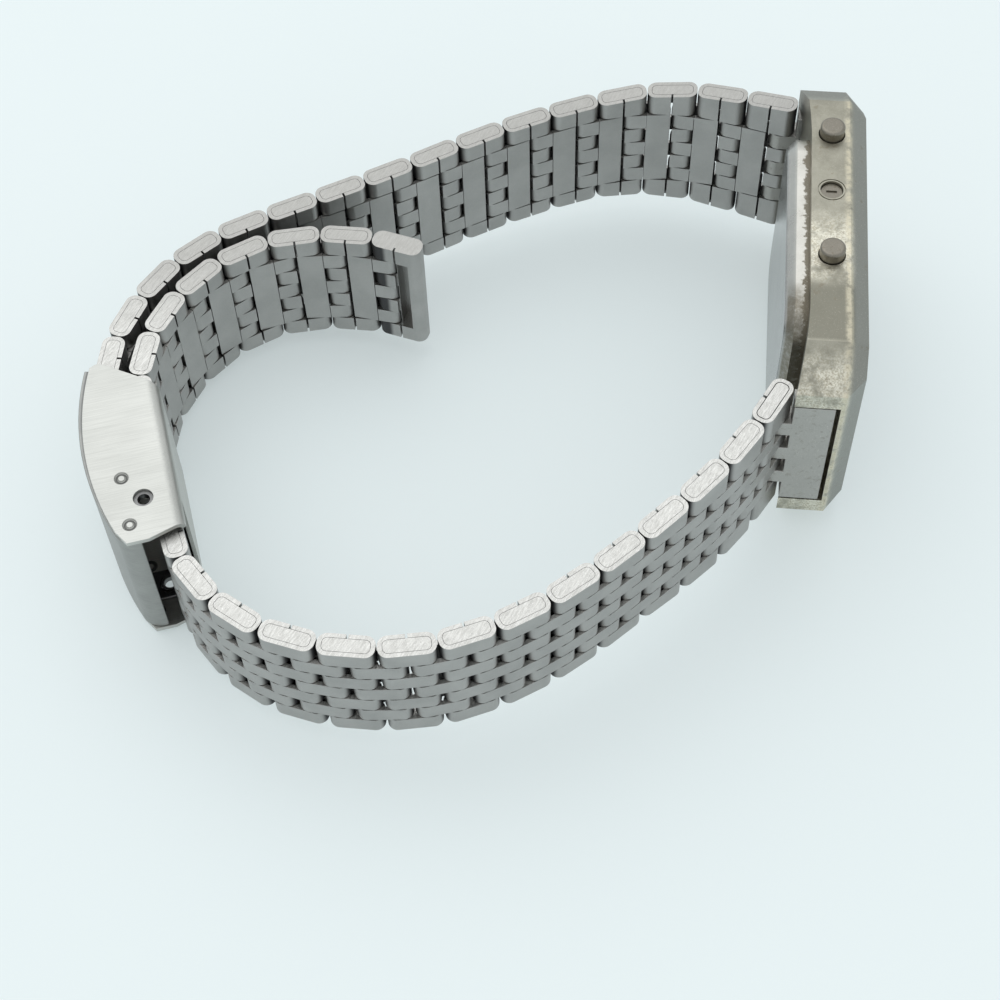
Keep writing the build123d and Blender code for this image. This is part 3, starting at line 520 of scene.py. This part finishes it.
def islands(count, edges):
    """Label of the connected island of each vertex: the smallest vertex number on it."""
    label = np.arange(count)
    while True:
        lowest = np.minimum(label[edges[:, 0]], label[edges[:, 1]])
        before = label.copy()
        np.minimum.at(label, edges[:, 0], lowest)
        np.minimum.at(label, edges[:, 1], lowest)
        label = label[label]
        if (label == before).all():
            return label


def link_frame(points):
    """Middle and long direction of a folded tube, from the outline of its inner cap."""
    low, high = points[:, 2].min(), points[:, 2].max()
    cap = low if abs(low) < abs(high) else high
    outline = points[np.abs(points[:, 2] - cap) < CAP_PLAY][:, :2]
    spread = outline - (outline.max(0) + outline.min(0)) / 2
    values, axes = np.linalg.eigh(spread.T @ spread)
    along = axes[:, 1]
    up = np.array((-along[1], along[0]))
    turned = outline @ np.stack((along, up), 1)
    middle = (turned.max(0) + turned.min(0)) / 2
    return middle[0] * along + middle[1] * up, along, up


def add_link_places(mesh):
    """Store each vertex's place in its own link, in millimetres: along it, through it, across."""
    points = np.empty(len(mesh.vertices) * 3)
    mesh.vertices.foreach_get("co", points)
    points = points.reshape(-1, 3) / MM - np.array(WATCH_ORIGIN)
    points = points @ turn_about_y(-WATCH_LEAN).T
    edges = np.empty(len(mesh.edges) * 2, dtype=int)
    mesh.edges.foreach_get("vertices", edges)
    label = islands(len(points), edges.reshape(-1, 2))
    groups = {key: np.flatnonzero(label == key) for key in np.unique(label)}
    frames = []
    for group in groups.values():
        low, high = points[group, 2].min(), points[group, 2].max()
        fingers = abs(high - low - FINGER_SPAN) < SPAN_PLAY
        if fingers or low > FINGER_SPAN / 2 or high < -FINGER_SPAN / 2:
            frames.append(link_frame(points[group]))
    places = np.zeros_like(points)
    for group in groups.values():
        spot = points[group][:, :2]
        centre = (spot.max(0) + spot.min(0)) / 2
        middle, along, up = min(frames, key=lambda f: np.hypot(*(f[0] - centre)))
        places[group, 0] = (spot - middle) @ along
        places[group, 1] = (spot - middle) @ up
        places[group, 2] = points[group, 2]
    stored = mesh.attributes.new("link_place", "FLOAT_VECTOR", "POINT")
    stored.data.foreach_set("vector", places.ravel())


def softened(name, finish, edge):
    """A copy of a CAD node with rolled edges: doubles merged, flat faces joined, then bevelled."""
    source = nodes[name]
    mesh = source.data.copy()
    mesh.name = name + "_soft"
    work = bmesh.new()
    work.from_mesh(mesh)
    bmesh.ops.remove_doubles(work, verts=work.verts, dist=WELD_REACH * MM)
    bmesh.ops.dissolve_limit(work, angle_limit=math.radians(FLAT_ANGLE), verts=work.verts,
                             edges=work.edges)
    work.to_mesh(mesh)
    work.free()
    if finish == band_steel:
        add_link_places(mesh)
    mesh.materials.clear()
    mesh.materials.append(finish)
    piece = bpy.data.objects.new(name + "_piece", mesh)
    scene.collection.objects.link(piece)
    mesh.polygons.foreach_set("use_smooth", np.ones(len(mesh.polygons), bool))
    mesh.set_sharp_from_angle(angle=math.radians(SHARP_ANGLE))
    roll = piece.modifiers.new("rolled_edges", "BEVEL")
    roll.width = edge * MM
    roll.segments = ROLL_STEPS
    roll.limit_method = "ANGLE"
    roll.angle_limit = math.radians(SHARP_ANGLE)
    roll.use_clamp_overlap = True
    even = piece.modifiers.new("even_shading", "WEIGHTED_NORMAL")
    even.keep_sharp = True
    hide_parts(name)
    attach(piece, source["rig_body"])


slots = {part["node"]: part["material_slot"] for part in frame["record"]["subparts"]}
finish_of_slot = {
    "band_steel": band_steel, "end_link_steel": end_link_steel, "clasp_steel": clasp_steel,
    "lid_steel": lid_steel, "pin_steel": pin_steel, "case_plating": case_metal,
    "back_steel": back_metal, "pusher_steel": pusher_steel, "spring_steel": spring_wire,
    "cell_steel": cell_steel,
    "clip_brass": clip_gold, "crystal_glass": crystal_glass, "lcd_glass": lcd_film,
    "lamp_glass": lamp_glass, "mask_print": mask_ink, "frame_plastic": frame_plastic,
    "board_laminate": board_green, "gasket_rubber": gasket_black,
    "connector_rubber": connector_grey}

for name, item in nodes.items():
    finish = finish_of_slot[slots[name]]
    item.data.materials.clear()
    item.data.materials.append(finish)
    if "band" in name or name.startswith("tail"):
        softened(name, finish, BAND_ROLL)
    elif name in ("near_end_link", "far_end_link", "clasp_box", "clasp_lid"):
        softened(name, finish, CLASP_ROLL)
    elif name == "case_middle":
        softened(name, finish, CASE_ROLL)


# Display: figures and printed lines, hidden from the photograph's side

SEGMENTS = {"0": "abcdef", "1": "bc", "2": "abged", "3": "abgcd", "4": "fgbc", "5": "afgcd",
            "6": "afgedc", "7": "abc", "8": "abcdefg", "9": "abcfgd", ":": "hi"}
# Middle of each bar in half figure heights (right, up), and whether it lies flat; h and i are
# the dots of a colon
BARS = {"a": (0, 1, 1), "b": (0.5, 0.5, 0), "c": (0.5, -0.5, 0), "d": (0, -1, 1),
        "e": (-0.5, -0.5, 0), "f": (-0.5, 0.5, 0), "g": (0, 0, 1), "h": (0, 0.4, 1),
        "i": (0, -0.4, 1)}


def put_in_watch(name, points, faces, body, finish):
    """A piece from points in watch coordinates, in millimetres, and its faces."""
    mesh = bpy.data.meshes.new(name)
    points = points @ turn_about_y(WATCH_LEAN).T + np.array(WATCH_ORIGIN)
    mesh.from_pydata(points * MM, [], faces.tolist())
    mesh.materials.append(finish)
    piece = bpy.data.objects.new(name, mesh)
    scene.collection.objects.link(piece)
    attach(piece, body)
    return piece


def figures(name, text, middle, half_height, finish):
    """Seven-bar figures on the panel, read with the pushers on the right; h and i make a colon.

    A bar is a hexagonal prism: its six corners are (+-l, 0) and (+-(l - t), +-t), with l its half
    length and t its half thickness, and they stand on the panel and one rise above it.
    """
    half_bar = half_height * BAR_LENGTH
    thick = half_height * BAR_THICKNESS
    bar = np.array(((-half_bar, 0), (thick - half_bar, -thick), (half_bar - thick, -thick),
                    (half_bar, 0), (half_bar - thick, thick), (thick - half_bar, thick)))
    step = half_height * FIGURE_STEP
    spots = [(middle[0] + (i - (len(text) - 1) / 2) * step, BARS[key])
             for i, figure in enumerate(text) for key in SEGMENTS[figure]]
    dots = np.array([key in "hi" for figure in text for key in SEGMENTS[figure]])[:, None]
    shift = np.array([(start + half_height * right, middle[1] + half_height * up)
                      for start, (right, up, flat) in spots])
    flat = np.array([flat for start, (right, up, flat) in spots])[:, None, None]
    bars = np.repeat(bar[None], len(shift), 0)
    bars[..., 0] = np.where(dots, bars[..., 0] * DOT_SHARE, bars[..., 0])
    corners = np.where(flat, bars, bars[..., ::-1]) + shift[:, None, :]
    count = len(corners)
    points = np.empty((count, 2, 6, 3))
    points[:, 0, :, 0] = PANEL_FRONT
    points[:, 1, :, 0] = PANEL_FRONT + FIGURE_RISE
    points[..., 1] = -corners[:, None, :, 1]
    points[..., 2] = corners[:, None, :, 0]
    ring = np.arange(6)
    after = (ring + 1) % 6
    walls = np.stack((ring, after, after + 6, ring + 6), 1)
    caps = np.array(((0, 1, 4, 5), (1, 2, 3, 4), (6, 7, 10, 11), (7, 8, 9, 10)))
    faces = np.concatenate((walls, caps))[None] + 12 * np.arange(count)[:, None, None]
    return put_in_watch(name, points.reshape(-1, 3), faces.reshape(-1, 4), "case",
                        finish)


def printed_line(name, half_length, half_width, corner, finish):
    """A thin line printed round the window.

    The path is a rectangle with rounded corners, P(a) = C(a) + r (cos a, sin a), where C(a) is the
    middle of the corner that angle a looks at; the section across it is a flat strip.
    """
    angle = (np.arange(LINE_POINTS) + 0.5) * (2 * np.pi / LINE_POINTS)
    looks = np.stack((np.cos(angle), np.sin(angle)), 1)
    middle = np.sign(looks) * np.array((half_length - corner, half_width - corner))
    half = LINE_WIDTH / 2
    low, high = MASK_FRONT - LINE_RISE / 3, MASK_FRONT + LINE_RISE
    across_line = np.array((-half, -half, half, half))
    height = np.array((low, high, high, low))
    points = np.empty((LINE_POINTS, 4, 3))
    points[..., 0] = height
    points[..., 1:] = middle[:, None, :] + (corner + across_line)[None, :, None] * looks[:, None, :]
    row = np.arange(LINE_POINTS)[:, None]
    column = np.arange(4)[None, :]
    after_row = (row + 1) % LINE_POINTS
    after_column = (column + 1) % 4
    faces = np.stack((row * 4 + column, after_row * 4 + column, after_row * 4 + after_column,
                      row * 4 + after_column), 2).reshape(-1, 4)
    return put_in_watch(name, points.reshape(-1, 3), faces, "case", finish)


def faced_out(piece):
    """Recalculate a piece's normals so that its faces look outwards."""
    work = bmesh.new()
    work.from_mesh(piece.data)
    bmesh.ops.recalc_face_normals(work, faces=work.faces)
    work.to_mesh(piece.data)
    work.free()


figure_ink = plain_finish("figure_ink", (0.035, 0.04, 0.045), (0.02, 0.022, 0.025), 0.35)
line_ink = plain_finish("line_ink", (0.62, 0.62, 0.58), (0.5, 0.5, 0.46), 0.45)
for row in FIGURES:
    faced_out(figures(*row, figure_ink))
for row in LINES:
    faced_out(printed_line(*row, line_ink))


# Table, light and camera

def rays_seen(tree):
    """1 for rays that show the ground: from the camera, off metal or through glass."""
    seen = [node(tree, "ShaderNodeLightPath", output=key)
            for key in ("Is Camera Ray", "Is Glossy Ray", "Is Transmission Ray")]
    return seen[0].maths("MAXIMUM", seen[1].maths("MAXIMUM", seen[2]))


def table():
    """Pale ground, seen a little brighter than it lights."""
    mesh = bpy.data.meshes.new("table_top")
    corners = ((-1, -1), (1, -1), (1, 1), (-1, 1))
    mesh.from_pydata([(x * TABLE_HALF, y * TABLE_HALF, 0) for x, y in corners], [], [(0, 1, 2, 3)])
    ground = bpy.data.objects.new("table_top", mesh)
    scene.collection.objects.link(ground)
    made, tree, shader = material("pale_ground", Roughness=0.8, Emission_Strength=1.0)
    clouds = noise(tree, place(tree), 0.01, 2.0)
    seen = rays_seen(tree)
    tint = mix(seen, GROUND_LIT, GROUND_SEEN)
    feed(tree, shader, Base_Color=mix(clouds * 0.1, tint, GROUND_CLOUDS),
         Emission_Color=mix(seen, (0, 0, 0), GROUND_GLOW))
    mesh.materials.append(made)


def lamp():
    """A square soft light that faces the watch."""
    light = bpy.data.lights.new("softbox", "AREA")
    light.size = LAMP_SIDE
    light.energy = LAMP_POWER
    item = bpy.data.objects.new("softbox", light)
    item.location = LAMP_PLACE
    item.rotation_euler = (-Vector(LAMP_PLACE)).to_track_quat("-Z", "Y").to_euler()
    scene.collection.objects.link(item)


def sky():
    """Even room light."""
    world = bpy.data.worlds.new("room")
    scene.world = world
    world.use_nodes = True
    background = world.node_tree.nodes["Background"]
    background.inputs["Color"].default_value = ROOM_COLOUR
    background.inputs["Strength"].default_value = ROOM_STRENGTH


def camera():
    """The photograph's viewpoint."""
    data = bpy.data.cameras.new("camera")
    data.lens = CAMERA_LENS
    data.sensor_width = CAMERA_SENSOR
    item = bpy.data.objects.new("camera", data)
    item.location = CAMERA_PLACE * MM
    item.rotation_euler = Euler([math.radians(a) for a in CAMERA_TURN], "XYZ")
    scene.collection.objects.link(item)
    scene.camera = item


table()
sky()
lamp()
camera()
